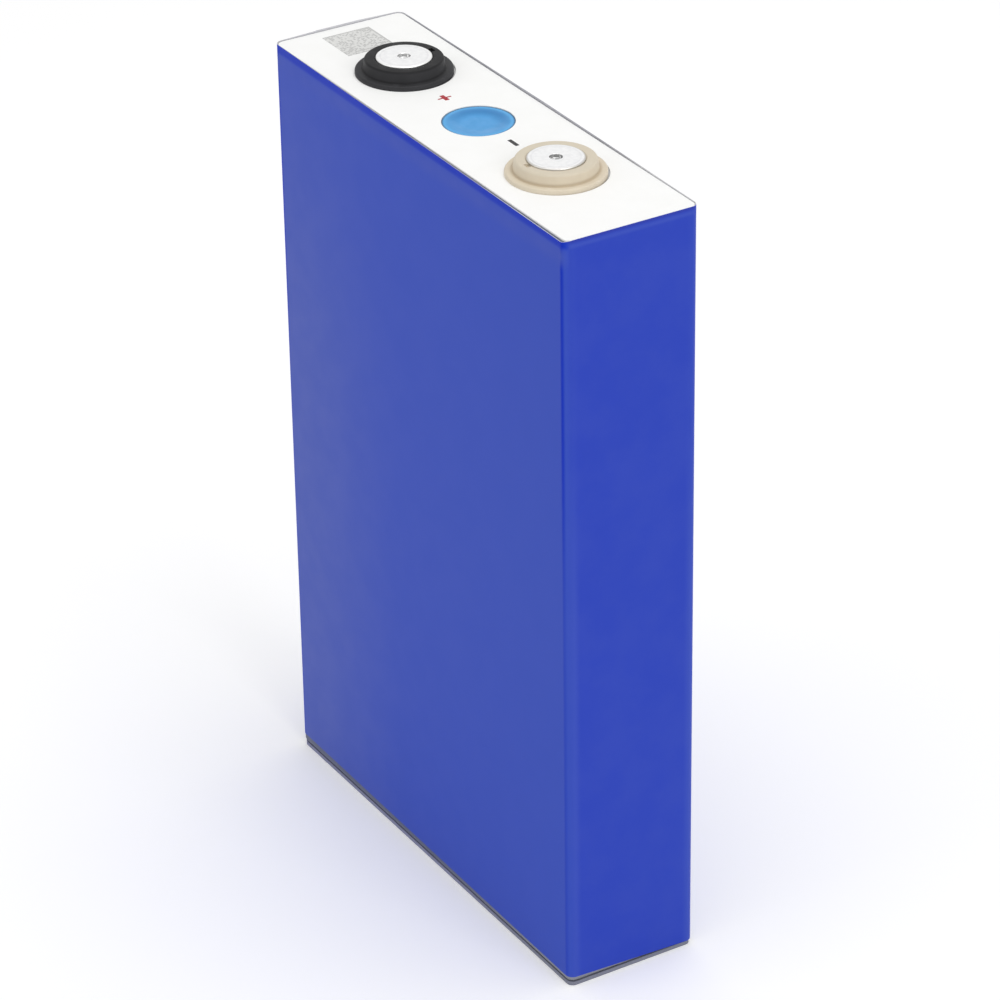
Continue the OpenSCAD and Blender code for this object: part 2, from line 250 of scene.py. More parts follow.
clouds, given, put = new_group(
    "cloudy_tint",
    {"Colour": (0.5, 0.5, 0.5, 1), "Drift": (0.6, 0.6, 0.6, 1), "Size": 0.01, "Amount": 0.5},
    ["Colour", "Mask"],
)
per_metre = calculate(clouds, "DIVIDE", 1.0, given["Size"])
puffs = noise_at(clouds, place_on(clouds), per_metre, cloud_detail, cloud_rough)
mask = ramp(clouds, puffs, cloud_start, cloud_full)
share = calculate(clouds, "MULTIPLY", mask, given["Amount"])
clouds.links.new(mix_colours(clouds, share, given["Colour"], given["Drift"]), put["Colour"])
clouds.links.new(mask, put["Mask"])
print("group", clouds.name)

# %% Fine grain
grain, given, put = new_group("fine_grain", {"Size": 0.0004, "Detail": 2.0}, ["Mask"])
per_metre = calculate(grain, "DIVIDE", 1.0, given["Size"])
grain.links.new(noise_at(grain, place_on(grain), per_metre, given["Detail"]), put["Mask"])
print("group", grain.name)

# %% Drawn streaks
streaks, given, put = new_group("drawn_streaks", {"Width": 0.0006, "Length": 0.03}, ["Mask"])
across = calculate(streaks, "DIVIDE", 1.0, given["Width"])
along = calculate(streaks, "DIVIDE", 1.0, given["Length"])
squeeze = add_node(streaks, "ShaderNodeCombineXYZ", {"X": across, "Y": across, "Z": along}).outputs[0]
drawn = add_node(streaks, "ShaderNodeVectorMath", {0: place_on(streaks), 1: squeeze}, operation="MULTIPLY")
streaks.links.new(noise_at(streaks, drawn.outputs[0], 1.0, 3.0), put["Mask"])
print("group", streaks.name)

# %% Turned rings
wander_scale = 0.37


def coordinates(tree):
    """The X, the Y and the Z of each point."""
    return add_node(tree, "ShaderNodeSeparateXYZ", {0: place_on(tree)}).outputs


def diagonal(tree, first, second):
    """Length of the diagonal of two distances at a right angle."""
    corner = add_node(tree, "ShaderNodeCombineXYZ", {"X": first, "Y": second}).outputs[0]
    return add_node(tree, "ShaderNodeVectorMath", {0: corner}, operation="LENGTH").outputs["Value"]


turning, given, put = new_group(
    "turned_rings", {"Centre X": 0.0, "Pitch": 0.0003}, ["Height", "Radius", "Sweep"]
)
axes = coordinates(turning)
radius = diagonal(turning, calculate(turning, "SUBTRACT", axes["X"], given["Centre X"]), axes["Y"])
turns = calculate(turning, "DIVIDE", radius, given["Pitch"])
groove = calculate(turning, "SINE", calculate(turning, "MULTIPLY", turns, math.tau))
wander = add_node(
    turning, "ShaderNodeTexNoise", {"W": turns, "Scale": wander_scale, "Detail": 3.0}, noise_dimensions="1D"
).outputs[0]
turning.links.new(calculate(turning, "MULTIPLY", groove, wander), put["Height"])
turning.links.new(radius, put["Radius"])
turning.links.new(wander, put["Sweep"])
print("group", turning.name)

# %% Edge wear and glint
flat_pointiness = 0.5

# The pale edges that this mask carries are wear, and they also serve as a painted highlight.
wear_and_glint, given, put = new_group("edge_wear", {"Sharpness": 0.54, "Grain": 0.0005}, ["Mask"])
shape = add_node(wear_and_glint, "ShaderNodeNewGeometry")
ridge = add_node(
    wear_and_glint, "ShaderNodeMapRange",
    {"Value": shape.outputs["Pointiness"], "From Min": flat_pointiness, "From Max": given["Sharpness"]},
)
speckle = add_node(wear_and_glint, "ShaderNodeGroup", node_tree=grain)
wear_and_glint.links.new(given["Grain"], speckle.inputs["Size"])
wear_and_glint.links.new(calculate(wear_and_glint, "MULTIPLY", ridge.outputs["Result"], speckle.outputs["Mask"]), put["Mask"])
print("group", wear_and_glint.name)

# %% Shaded crease
crease, given, put = new_group(
    "shaded_crease", {"Centre X": 0.0, "Radius": 0.01, "Level": 0.0, "Width": 0.001}, ["Mask"]
)
axes = coordinates(crease)
radius = diagonal(crease, calculate(crease, "SUBTRACT", axes["X"], given["Centre X"]), axes["Y"])
outwards = calculate(crease, "SUBTRACT", radius, given["Radius"])
upwards = calculate(crease, "SUBTRACT", axes["Z"], given["Level"])
crease.links.new(ramp(crease, diagonal(crease, outwards, upwards), given["Width"], 0.0), put["Mask"])
print("group", crease.name)

# %% Helpers for finishes
def new_finish(name, **fixed):
    """Start a material, set the shader's plain values, and return it with its tree and its shader."""
    material = bpy.data.materials.new(name)
    material.use_nodes = True
    shader = material.node_tree.nodes["Principled BSDF"]
    for socket, value in fixed.items():
        shader.inputs[socket.replace("_", " ")].default_value = value
    return material, material.node_tree, shader


def place_group(tree, group, **values):
    """Place a shared effect in a material with its own values, and return its outputs."""
    inputs = {title.replace("_", " "): value for title, value in values.items()}
    return add_node(tree, "ShaderNodeGroup", inputs, node_tree=group).outputs


def spread(tree, mask, low, high):
    """Turn a mask from 0 to 1 into values from low to high."""
    return add_node(
        tree, "ShaderNodeMapRange", {"Value": mask, "To Min": low, "To Max": high}
    ).outputs["Result"]


def both(tree, first, second):
    """Mask that holds where two masks hold. A number weakens a mask."""
    return calculate(tree, "MULTIPLY", first, second)


print("helpers for finishes are ready")

# %% [markdown]
# ## The blue film
# The film is a satin blue polyester with a grey back. Its wide faces are paler, most of all low down at the
# positive end: a painted sheen. Its top edge and its upper folds are a deeper blue, with a painted glint
# below the edge and a painted highlight down each upright corner. Its gloss is low, so that it stays blue
# under white light. All of this follows places on the cell, so the masks are worked out from the coordinates
# and nothing is painted by hand.

# %% Film colour
film_low, film_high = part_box("wrap_film")
film_corner = 2 * MM
fold_inset = 0.8 * film_corner
flat_inset = 0.1 * film_corner
film_blue = (0.027, 0.059, 0.475, 1)
# The paler blue of the wide faces and the veil tone hold a painted sheen.
film_wide_sheen = (0.037, 0.08, 0.505, 1)
film_sheen = (0.075, 0.115, 0.485, 1)
sheen_start = -5 * MM
sheen_low = 110 * MM
sheen_at_top = 0.25
cloud_share = 0.15

film_front, tree, shader = new_finish("film_front", Specular_IOR_Level=0.08)
axes = coordinates(tree)
along = calculate(tree, "ABSOLUTE", axes["X"])
across = calculate(tree, "ABSOLUTE", axes["Y"])
height = axes["Z"]
wide = ramp(tree, across, film_high.y - fold_inset, film_high.y - flat_inset)
narrow = calculate(tree, "SUBTRACT", 1.0, wide)
# Painted sheen: the wide faces are paler, most of all low down at the positive end.
sheen_by_height = spread(tree, ramp(tree, height, film_high.z, sheen_low), sheen_at_top, 1.0)
painted_sheen = both(tree, ramp(tree, axes["X"], sheen_start, film_low.x), sheen_by_height)
colour = mix_colours(tree, wide, film_blue, mix_colours(tree, painted_sheen, film_wide_sheen, film_sheen))
drift = mix_colours(tree, cloud_share, colour, film_sheen)
tint = place_group(tree, clouds, Colour=colour, Drift=drift, Size=9 * MM, Amount=0.8)
print("film reaches from", round(film_low.z / MM, 1), "to", round(film_high.z / MM, 1), "mm")

# %% Film folds
film_deep = (0.002, 0.029, 0.495, 1)
# This pale tone is painted highlight, for the upright corners and the glints below the top edge.
film_glint = (0.05, 0.09, 0.49, 1)
fold_low = 100 * MM
fold_high = 150 * MM
fold_width = 0.9 * MM
glint_inset = 0.6 * film_corner
glint_low_share = 0.7
glint_high_share = 0.2
fold_low_share = 0.35


def line_mask(tree, value, centre, width):
    """Soft line where a value is near a centre. It fades out at width on either side."""
    apart = calculate(tree, "ABSOLUTE", calculate(tree, "SUBTRACT", value, centre))
    return ramp(tree, apart, width, 0.0)


high_up = ramp(tree, height, fold_low, fold_high)
# Painted highlight: the film is paler where it turns round an upright corner, most of all low down.
past_fold = calculate(tree, "GREATER_THAN", along, film_high.x - glint_inset)
turned = both(tree, line_mask(tree, across, film_high.y - fold_inset, film_corner), past_fold)
corner_glint_share = both(tree, turned, spread(tree, high_up, glint_low_share, glint_high_share))
colour = mix_colours(tree, corner_glint_share, tint["Colour"], film_glint)
fold = both(tree, line_mask(tree, along, film_high.x - fold_inset, fold_width), wide)
fold_share = both(tree, fold, spread(tree, high_up, fold_low_share, 1.0))
colour = mix_colours(tree, fold_share, colour, film_deep)
print("folds are deepest above", round(fold_high / MM), "mm")

# %% Film top edge
film_shade = (0.03, 0.05, 0.39, 1)
band_end = 2.7 * MM
band_full = 1.5 * MM
band_share = 0.85

# Each line has its depth below the edge, its reach, its face, its share and its tone: a glint and a shaded
# line on the narrow sides, then a broad glint on the wide faces.
for drop, reach, face, share, tone in (
    (1.5 * MM, 0.9 * MM, narrow, 0.7, film_glint),
    (0.3 * MM, 0.7 * MM, narrow, 1.0, film_shade),
    (4.2 * MM, 3.6 * MM, wide, 1.0, film_glint),
):
    line = both(tree, line_mask(tree, height, film_high.z - drop, reach), face)
    colour = mix_colours(tree, both(tree, line, share), colour, tone)
band = both(tree, ramp(tree, height, film_high.z - band_end, film_high.z - band_full), wide)
colour = mix_colours(tree, both(tree, band, band_share), colour, film_deep)
tree.links.new(colour, shader.inputs["Base Color"])
print("deep blue band is", round(band_end / MM, 1), "mm wide")

# %% Film skin
sag_depth = 0.12 * MM
peel_depth = 0.004 * MM


def raise_bumps(tree, shader, *layers):
    """Chain bumps into the shader's normal. Each layer is a height and the metres that one unit of it is."""
    normal = None
    for height, depth in layers:
        inputs = {"Height": height, "Distance": depth, "Strength": 1.0}
        if normal is not None:
            inputs["Normal"] = normal
        normal = add_node(tree, "ShaderNodeBump", inputs).outputs["Normal"]
    tree.links.new(normal, shader.inputs["Normal"])


tree.links.new(spread(tree, tint["Mask"], 0.38, 0.48), shader.inputs["Roughness"])
peel = place_group(tree, grain, Size=0.5 * MM, Detail=2.0)["Mask"]
sag = place_group(tree, grain, Size=28 * MM, Detail=1.0)["Mask"]
raise_bumps(tree, shader, (sag, sag_depth), (peel, peel_depth))
print("bumps of the film are up to", round(sag_depth / MM, 2), "mm deep")

# %% [markdown]
# The back of the film shows only as a thin line along the edges. It is grey, with painted light that makes it
# paler towards both ends of the cell, and painted shade along the lower edge, which faces the floor. It gets
# a finish of its own.

# %% Film back
back_grey = (0.44, 0.44, 0.48, 1)
back_drift = (0.5, 0.5, 0.54, 1)
back_lit = (0.76, 0.76, 0.78, 1)
back_softly_lit = (0.6, 0.6, 0.63, 1)
back_shaded = (0.25, 0.265, 0.38, 1)
lit_start = 28 * MM
lit_full = 50 * MM

film_back, tree, shader = new_finish("film_back", Specular_IOR_Level=0.2, Roughness=0.6)
tint = place_group(tree, clouds, Colour=back_grey, Drift=back_drift, Size=6 * MM, Amount=0.7)
axes = coordinates(tree)
colour = tint["Colour"]
# Painted light makes the back paler towards both ends, and painted shade dims it along the lower edge.
for value, start, end, tone in (
    (axes["X"], lit_start, lit_full, back_lit),
    (axes["X"], film_low.x + 3 * film_corner, film_low.x + film_corner, back_softly_lit),
    (axes["Z"], film_low.z + 2 * film_corner, film_low.z + film_corner, back_shaded),
):
    colour = mix_colours(tree, ramp(tree, value, start, end), colour, tone)
tree.links.new(colour, shader.inputs["Base Color"])
print("back of the film is palest past", round(lit_full / MM), "mm")

# %% [markdown]
# ## The film sleeve
# A sheet of this film is wrapped round the can and lapped over itself on one narrow side. A box could carry
# the colour alone, but film has a thickness, folded corners and a lap that catches the light. So a cube loses
# its top and bottom, its upright edges are bevelled, and the shell is given its thickness afterwards. The
# sheet was not cut quite square: its top edge sinks towards one front corner and rises at the back and over
# the lap, and its lower edge hangs low at one corner and is lifted at the opposite one.
#
# A mesh is modelled in edit mode: some part of it is selected, then an operator acts on the selection. A
# person selects with the mouse, and a script selects by place.

# %% Helpers for selecting
facing = 0.99


def start_block(centre, size):
    """Add a cube at its place and size, as the only thing that is selected."""
    bpy.ops.object.select_all(action="DESELECT")
    bpy.ops.mesh.primitive_cube_add(size=1, location=centre, scale=size)
    return bpy.context.object


def begin(piece, name):
    """Name a fresh primitive, put its place into its mesh and open it for editing."""
    piece.name = name
    piece.data.name = name
    bpy.ops.object.transform_apply(location=True, rotation=True, scale=True)
    bpy.ops.object.mode_set(mode="EDIT")


def choose(piece, kind, test):
    """Select the verts, edges or faces for which the test holds, and nothing else."""
    modes = {"verts": "VERT", "edges": "EDGE", "faces": "FACE"}
    bpy.ops.mesh.select_mode(type=modes[kind])
    bpy.ops.mesh.select_all(action="DESELECT")
    mesh = bmesh.from_edit_mesh(piece.data)
    for part in getattr(mesh, kind):
        part.select_set(test(part))
    mesh.select_flush_mode()
    bmesh.update_edit_mesh(piece.data)


def middle(part):
    """Centre of an edge or a face."""
    return sum((corner.co for corner in part.verts), Vector()) / len(part.verts)


def rise(edge):
    """How far an edge climbs from one end to the other."""
    return abs(edge.verts[0].co.z - edge.verts[1].co.z)


print("helpers for selecting are ready")

# %% Film sleeve
film_thick = -film_low.x - film_high.x
lap_start = -6 * MM
lap_end = 6 * MM
lap_ramp = 2 * MM
corner_steps = 12

sleeve = start_block(
    (0, 0, (film_low.z + film_high.z) / 2),
    (2 * film_high.x, 2 * film_high.y, film_high.z - film_low.z),
)
begin(sleeve, "film_sleeve")
choose(sleeve, "faces", lambda face: abs(face.normal.z) > facing)
bpy.ops.mesh.delete(type="FACE")
choose(sleeve, "edges", lambda edge: rise(edge) > film_corner)
bpy.ops.mesh.bevel(offset=film_corner, segments=corner_steps, affect="EDGES")
for cut_y in (lap_start, lap_end, lap_end + lap_ramp):
    choose(sleeve, "faces", lambda face: face.normal.x < -facing)
    bpy.ops.mesh.bisect(plane_co=(0, cut_y, 0), plane_no=(0, 1, 0))
choose(sleeve, "faces", lambda face: abs(face.normal.y) > facing)
bpy.ops.mesh.bisect(plane_co=(0, 0, 0), plane_no=(1, 0, 0))
print("sleeve has", len(bmesh.from_edit_mesh(sleeve.data).faces), "faces so far")

# %% Settle a mesh
sharp_angle = math.radians(35)
merge_reach = 0.0002 * MM


def settle(piece):
    """Close editing: merge doubles, turn faces outwards and smooth what is not a sharp edge."""
    bpy.ops.mesh.select_mode(type="VERT")
    bpy.ops.mesh.select_all(action="SELECT")
    bpy.ops.mesh.remove_doubles(threshold=merge_reach)
    bpy.ops.mesh.normals_make_consistent(inside=False)
    bpy.ops.object.mode_set(mode="OBJECT")
    bpy.ops.object.shade_smooth_by_angle(angle=sharp_angle)


print("edges sharper than", round(math.degrees(sharp_angle)), "degrees stay sharp")

# %% Film edges
edge_dip = 0.6 * MM
edge_sag = 0.25 * MM
edge_rise = 0.35 * MM
edge_drop = 1.3 * MM
edge_lift = 0.9 * MM
lap_rise = 0.25 * MM
dip_reach = 1.6 * film_corner
corner_reach = 1.01 * film_corner
dip_spot = Vector((film_high.x - film_corner, film_low.y, film_high.z))
drop_spot = Vector((film_high.x, film_high.y, film_low.z))
lift_spot = Vector((-film_high.x, film_low.y, film_low.z))


def on_top(spot):
    """True at the film's top edge, false at its lower one."""
    return spot.z > film_high.z - film_corner


def halfway(spot):
    """True at the cut in the middle of a wide face."""
    return abs(spot.x) < film_corner


choose(sleeve, "verts", lambda vert: (vert.co - dip_spot).length < film_corner / 20)
bpy.ops.transform.translate(
    value=(0, 0, -edge_dip),
    use_proportional_edit=True, proportional_edit_falloff="SMOOTH", proportional_size=dip_reach,
)
for test, move in (
    (lambda spot: on_top(spot) and halfway(spot) and spot.y < 0, -edge_sag),
    (lambda spot: on_top(spot) and halfway(spot) and spot.y > 0, edge_rise),
    (lambda spot: on_top(spot) and spot.x < 0 and abs(spot.y) < lap_end + 2 * lap_ramp, lap_rise),
    (lambda spot: (spot - drop_spot).length < corner_reach, -edge_drop),
    (lambda spot: (spot - lift_spot).length < corner_reach, edge_lift),
    (lambda spot: not on_top(spot) and halfway(spot) and spot.y < 0, edge_lift / 2),
):
    choose(sleeve, "verts", lambda vert: test(vert.co))
    bpy.ops.transform.translate(value=(0, 0, move))
settle(sleeve)
print("film's top edge sinks", round(edge_dip / MM, 2), "mm at the front corner")

# %% Film thickness
sleeve.data.materials.append(film_front)
sleeve.data.materials.append(film_back)
wall = sleeve.modifiers.new("film_wall", "SOLIDIFY")
wall.thickness = film_thick
wall.offset = -1
wall.use_even_offset = True
wall.material_offset = 1
wall.material_offset_rim = 1
bpy.ops.object.modifier_apply(modifier=wall.name)
print("film is", round(film_thick / MM, 2), "mm thick")

# %% Hand over a piece
def hand_over(piece, *materials, slot=None, stands_for=None):
    """Dress a finished piece and hang it on the cell."""
    for material in materials:
        piece.data.materials.append(material)
    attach(piece, "root")
    if stands_for:
        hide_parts(stands_for)
    print(piece.name, "has", len(piece.data.polygons), "faces")


print("helper for handing over is ready")

# %% Film lap
def on_lap(face):
    """True on the outer face of the film between the lap's two lines."""
    spot = middle(face)
    outside = face.normal.x < -facing and spot.x < film_thick / 10 - film_high.x
    return outside and lap_start < spot.y < lap_end + lap_ramp


bpy.ops.object.mode_set(mode="EDIT")
choose(sleeve, "faces", on_lap)
bpy.ops.mesh.extrude_region_move(TRANSFORM_OT_translate={"value": (-film_thick, 0, 0)})
choose(
    sleeve, "verts",
    lambda vert: vert.co.x < -film_high.x - film_thick / 2 and vert.co.y > lap_end + lap_ramp / 2,
)
bpy.ops.transform.translate(value=(film_thick, 0, 0))
settle(sleeve)
hand_over(sleeve, slot="blue_film", stands_for="wrap_film")
print("lap stands", round(film_thick / MM, 2), "mm proud of the narrow side")

# %% [markdown]
# ## The collars
# Each terminal stands in a moulded collar that keeps it off the cover: black on the positive side, natural
# beige on the negative one. A collar has a brim, a leaning wall, a rounded shoulder and a lip with a small
# chamfer. It could be stacked from cylinders, but its section says it all: half of it is drawn point by
# point, its corners are rounded by a bevel, and it is spun about its axis like clay. A small key notch is
# cut into the lip, and a copy is turned half round to the other side of the cell.

# %% Spin a section
turn_sides = 144
round_steps = 6
touching = 0.001 * MM


def spin_section(name, axis_x, section, rounds):
    """Spin half a section, given as points of radius and height, about an upright axis.

    rounds gives, for some of the points, how far from the corner its rounding starts.
    """
    bpy.ops.object.select_all(action="DESELECT")
    bpy.ops.mesh.primitive_plane_add(size=MM)
    piece = bpy.context.object
    begin(piece, name)
    bpy.ops.mesh.merge(type="CENTER")
    here = Vector((0, 0, 0))
    for count, (radius, height) in enumerate(section):
        there = Vector((axis_x + radius, 0, height))
        move = {"value": there - here}
        if count:
            bpy.ops.mesh.extrude_vertices_move(TRANSFORM_OT_translate=move)
        else:
            bpy.ops.transform.translate(**move)
        here = there
    for corner, reach in rounds.items():
        radius, height = section[corner]
        spot = Vector((axis_x + radius, 0, height))
        choose(piece, "verts", lambda vert: (vert.co - spot).length < touching)
        bpy.ops.mesh.bevel(offset=reach, segments=round_steps, affect="VERTICES")
    bpy.ops.mesh.select_all(action="SELECT")
    bpy.ops.mesh.spin(steps=turn_sides, angle=math.tau, center=(axis_x, 0, 0), axis=(0, 0, 1))
    settle(piece)
    return piece


print("a spun piece has", turn_sides, "sides")

# %% Collar section
collar_low, collar_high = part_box("positive_collar")
disc_low, disc_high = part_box("positive_terminal")
positive_x = (collar_low.x + collar_high.x) / 2
brim_radius = (collar_high.x - collar_low.x) / 2
brim_top = collar_low.z + 1.4 * MM
wall_radius = 9.8 * MM
shoulder_radius = 9.35 * MM
disc_radius = 6.65 * MM
lip_chamfer = 0.35 * MM
foot_radius = (disc_high.x - disc_low.x) / 2
foot_height = 1.4 * MM
post_gap_radius = 4.2 * MM

collar_section = [
    (brim_radius, collar_low.z),
    (brim_radius, brim_top),
    (wall_radius, brim_top),
    (shoulder_radius, collar_high.z),
    (disc_radius + lip_chamfer, collar_high.z),
    (disc_radius, collar_high.z - lip_chamfer),
    (disc_radius, disc_low.z + foot_height),
    (foot_radius, disc_low.z + foot_height),
    (foot_radius, disc_low.z),
    (post_gap_radius, disc_low.z),
    (post_gap_radius, collar_low.z),
    (brim_radius, collar_low.z),
]
collar_rounds = {1: 0.5 * MM, 2: 0.25 * MM, 3: 0.5 * MM, 4: 0.08 * MM}
print("collar is", round(2 * brim_radius / MM, 1), "mm over its brim")

# %% Cut and copy
def only(piece):
    """Select one piece and nothing else."""
    bpy.ops.object.select_all(action="DESELECT")
    piece.select_set(True)
    bpy.context.view_layer.objects.active = piece


def take_away(piece, cutter):
    """Cut a piece with a fresh primitive, which is used up."""
    bpy.ops.object.transform_apply(location=True, rotation=True, scale=True)
    only(piece)
    cutting = piece.modifiers.new("cutting", "BOOLEAN")
    cutting.object = cutter
    cutting.operation = "DIFFERENCE"
    bpy.ops.object.modifier_apply(modifier=cutting.name)
    bpy.ops.object.shade_smooth_by_angle(angle=sharp_angle)
    bpy.data.objects.remove(cutter)


def copy_across(piece, name):
    """Copy a piece, with a mesh of its own, and turn the copy half round about the cell's upright axis."""
    only(piece)
    bpy.ops.object.duplicate()
    twin = bpy.context.object
    bpy.ops.transform.rotate(value=math.pi, orient_axis="Z", center_override=(0, 0, 0))
    bpy.ops.object.transform_apply(location=True, rotation=True, scale=True)
    twin.name = name
    twin.data.name = name
    return twin


print("helpers for cutting and copying are ready")

# %% Collars
key_width = 1.8 * MM
key_reach = 1.4 * MM
key_depth = 0.7 * MM

black_ring = spin_section("collar_black", positive_x, collar_section, collar_rounds)
key_place = (positive_x, disc_radius, collar_high.z)
take_away(black_ring, start_block(key_place, (key_width, 2 * key_reach, 2 * key_depth)))
beige_ring = copy_across(black_ring, "collar_beige")
print("key notches are", round(key_width / MM, 1), "mm wide")

# %% [markdown]
# Black nylon and natural polypropylene come out of the same kind of mould, with the same faint texture, and
# both go pale where an edge rubs; that pale edge also serves as a painted highlight. One function makes both
# finishes. A second one lays painted shade over them: a darker tone in the crease between wall and brim, and
# another one on the lip.

# %% Collar finishes
lip_shade_start = 0.6 * MM
lip_shade_full = 0.1 * MM


def moulded_finish(name, colour, drift, worn_and_glint, low_rough, high_rough, **fixed):
    """Moulded plastic: cloudy colour, pale edges of wear and painted highlight, and a fine skin."""
    material, tree, shader = new_finish(name, **fixed)
    tint = place_group(tree, clouds, Colour=colour, Drift=drift, Size=4 * MM, Amount=0.7)
    # The pale edge tone is wear and also a painted highlight.
    rubbed_and_glint = place_group(tree, wear_and_glint, Sharpness=0.56, Grain=0.6 * MM)["Mask"]
    tree.links.new(mix_colours(tree, rubbed_and_glint, tint["Colour"], worn_and_glint), shader.inputs["Base Color"])
    tree.links.new(spread(tree, tint["Mask"], low_rough, high_rough), shader.inputs["Roughness"])
    skin = place_group(tree, grain, Size=0.25 * MM, Detail=2.0)["Mask"]
    raise_bumps(tree, shader, (skin, 0.006 * MM))
    return material


def paint_over(material, mask, tone):
    """Lay a tone over the colour that a material has, where a mask holds."""
    tree = material.node_tree
    base = tree.nodes["Principled BSDF"].inputs["Base Color"]
    tree.links.new(mix_colours(tree, mask, base.links[0].from_socket, tone), base)


def shade_collar(material, axis_x, crease_shade_tone, crease_width, lip_shade_tone):
    """Paint shade into the crease between a collar's wall and its brim, and onto its lip."""
    tree = material.node_tree
    # The crease tone is painted shade, and so is the lip tone below.
    crease_shade_mask = place_group(
        tree, crease, Centre_X=axis_x, Radius=wall_radius, Level=brim_top, Width=crease_width
    )["Mask"]
    paint_over(material, crease_shade_mask, crease_shade_tone)
    on_lip = ramp(tree, coordinates(tree)["Z"], collar_high.z - lip_shade_start, collar_high.z - lip_shade_full)
    paint_over(material, on_lip, lip_shade_tone)


# The two tones given to shade_collar below are painted shade.
black_plastic = moulded_finish(
    "black_nylon", (0.029, 0.029, 0.031, 1), (0.036, 0.036, 0.039, 1), (0.055, 0.055, 0.06, 1), 0.42, 0.54,
    Specular_IOR_Level=0.1,
)
shade_collar(black_plastic, positive_x, (0.014, 0.014, 0.015, 1), 0.5 * MM, (0.0155, 0.0155, 0.0165, 1))
beige_plastic = moulded_finish(
    "natural_plastic", (0.64, 0.555, 0.425, 1), (0.68, 0.6, 0.465, 1), (0.72, 0.65, 0.53, 1), 0.4, 0.5,
    Specular_IOR_Level=0.3,
)
shade_collar(beige_plastic, -positive_x, (0.48, 0.39, 0.27, 1), 0.85 * MM, (0.63, 0.56, 0.44, 1))
hand_over(black_ring, black_plastic, slot="black_collar", stands_for="positive_collar")
hand_over(beige_ring, beige_plastic, slot="beige_collar", stands_for="negative_collar")

# %% [markdown]
# ## The terminals
# A terminal is a turned aluminium block. Its bare face is where a busbar is welded, its foot is held under
# the collar's lip, and a small pilot hole marks its centre. It is spun and copied like the collar. The marks
# that the lathe left on its face are too fine to model, so they are shallow rings in the finish.

# %% Terminal blocks
pilot_radius = 1.5 * MM
pilot_depth = 1 * MM
socket_radius = 4 * MM
socket_depth = 1.2 * MM
terminal_section = [
    (0, disc_low.z + socket_depth),
    (socket_radius, disc_low.z + socket_depth),
    (socket_radius, disc_low.z),
    (foot_radius, disc_low.z),
    (foot_radius, disc_low.z + foot_height),
    (disc_radius, disc_low.z + foot_height),
    (disc_radius, disc_high.z),
    (pilot_radius, disc_high.z),
    (pilot_radius, disc_high.z - pilot_depth),
    (0, disc_high.z - pilot_depth),
]
terminal_rounds = {6: 0.3 * MM, 7: 0.12 * MM, 8: 0.15 * MM}

positive_block = spin_section("terminal_positive", positive_x, terminal_section, terminal_rounds)
negative_block = copy_across(positive_block, "terminal_negative")
print("terminal's face is", round(2 * disc_radius / MM, 1), "mm wide")

# %% Terminal finishes
face_bright = (0.87, 0.87, 0.87, 1)
face_dull = (0.77, 0.77, 0.78, 1)
scribed_tone = (0.6, 0.6, 0.61, 1)
scribed_radius = 5.6 * MM
scribed_share = 0.25
ring_pitch = 0.35 * MM
rim_shade_start = disc_radius - 0.5 * MM
rim_shade_full = disc_radius - 0.2 * MM
pilot_rough = 0.15


def turned_finish(name, centre_x, pilot_shade_tone, rim_shade_tone):
    """Turned aluminium: bright and grainy, with rings, a scribed line near the rim, painted shade on the rim
    and in the pilot, and a smooth pilot.
    """
    material, tree, shader = new_finish(name, Metallic=1.0)
    rings = place_group(tree, turning, Centre_X=centre_x, Pitch=ring_pitch)
    tint = place_group(tree, clouds, Colour=face_bright, Drift=face_dull, Size=1.1 * MM, Amount=0.6)
    scribed = line_mask(tree, rings["Radius"], scribed_radius, ring_pitch)
    colour = mix_colours(tree, both(tree, scribed, scribed_share), tint["Colour"], scribed_tone)
    # Painted shade: the rounded rim and the inside of the pilot hole are darker.
    colour = mix_colours(tree, ramp(tree, rings["Radius"], rim_shade_start, rim_shade_full), colour, rim_shade_tone)
    in_pilot = ramp(tree, rings["Radius"], 1.1 * pilot_radius, pilot_radius)
    tree.links.new(mix_colours(tree, in_pilot, colour, pilot_shade_tone), shader.inputs["Base Color"])
    turned_rough = spread(tree, rings["Sweep"], 0.28, 0.5)
    tree.links.new(spread(tree, in_pilot, turned_rough, pilot_rough), shader.inputs["Roughness"])
    grit = place_group(tree, grain, Size=0.3 * MM, Detail=3.0)["Mask"]
    raise_bumps(tree, shader, (rings["Height"], 0.004 * MM), (grit, 0.004 * MM))
    return material


# The last two tones are painted shade, for the pilot hole and for the rim.
positive_metal = turned_finish(
    "positive_aluminium", positive_x, (0.68, 0.68, 0.68, 1), (0.8, 0.8, 0.79, 1)
)
negative_metal = turned_finish(
    "negative_aluminium", -positive_x, (0.58, 0.58, 0.58, 1), (0.6, 0.59, 0.57, 1)
)
hand_over(positive_block, positive_metal, slot="terminal_metal", stands_for="positive_terminal")
hand_over(negative_block, negative_metal, slot="terminal_metal", stands_for="negative_terminal")

# %% [markdown]
# ## The vent window
# Between the terminals, a round film covers the burst vent. It is glued down at its rim and sags into the
# recess below. Its section is a shallow dish with a flat middle: a cosine gives the slope, and the film has
# the same thickness all over. The slope has painted shade on one side, the glued rim a painted highlight,
# and the cut edge a painted shadow.

# %% Vent window
vent_low, vent_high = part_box("vent_film")
cover_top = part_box("cover_plate")[1].z
vent_radius = vent_high.x
vent_thick = vent_high.z - cover_top
vent_sag = cover_top - vent_low.z
vent_rim = 1 * MM
vent_round = 0.05 * MM
flat_share = 0.4
dish_steps = 20


def dish_point(step, lift):
    """Point of the dish's section, from the axis at step 0 to the rim at the last step."""
    share = step / dish_steps
    climb = max(0, (share - flat_share) / (1 - flat_share))
    sag = vent_sag * (1 + math.cos(math.pi * climb)) / 2
    return ((vent_radius - vent_rim) * share, cover_top - sag + lift)


